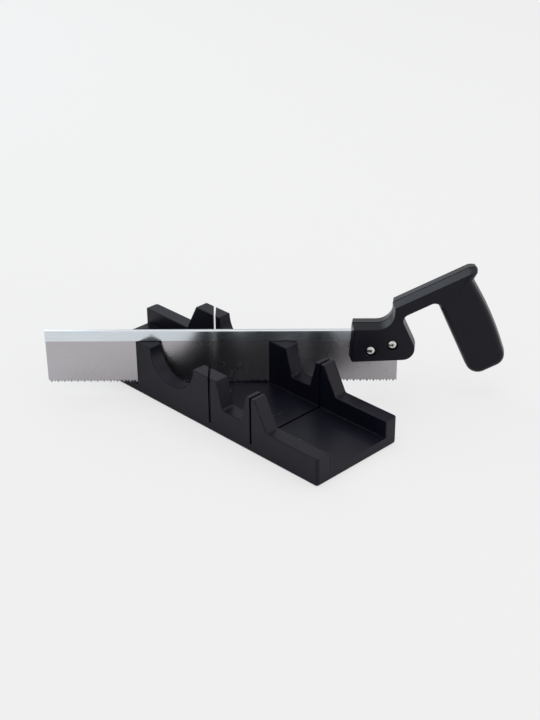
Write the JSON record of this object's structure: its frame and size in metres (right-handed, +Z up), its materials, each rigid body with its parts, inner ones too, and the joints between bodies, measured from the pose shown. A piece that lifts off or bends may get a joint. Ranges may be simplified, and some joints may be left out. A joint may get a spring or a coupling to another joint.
{
  "type": "mitre box",
  "caption": "Trough-shaped bench guide with square and mitre slots, and the stiff-backed hand saw that slides through them.",
  "frame": {"origin": "middle of the trough's underside, on the surface that it stands on", "axes": "+X along the trough, towards its end with the square cut; +Y away from the user, towards the rear fence; +Z up"},
  "size_m": [0.3132, 0.2873, 0.1196],
  "materials": {
    "box_plastic": "near-black moulded ABS with a fine satin texture and rounded edges",
    "blade_steel": "bright rolled spring steel, ground and lightly polished",
    "back_steel": "bright folded steel strip",
    "handle_plastic": "near-black moulded ABS, satin",
    "fastener_zinc": "bright zinc plating"
  },
  "bodies": {
    "box": {"mitre_box": "box_plastic"},
    "saw": {"saw_blade": "blade_steel", "saw_back": "back_steel", "handle_front_half": "handle_plastic", "handle_rear_half": "handle_plastic", "handle_screw_1": "fastener_zinc", "handle_screw_2": "fastener_zinc", "handle_nut_1": "fastener_zinc", "handle_nut_2": "fastener_zinc"}
  },
  "joints": [
    {"name": "saw_stroke", "type": "slide", "parent": "box", "child": "saw", "axis": [0.7071, 0.7071, 0], "range_m": [-0.04, 0.07]}
  ]
}
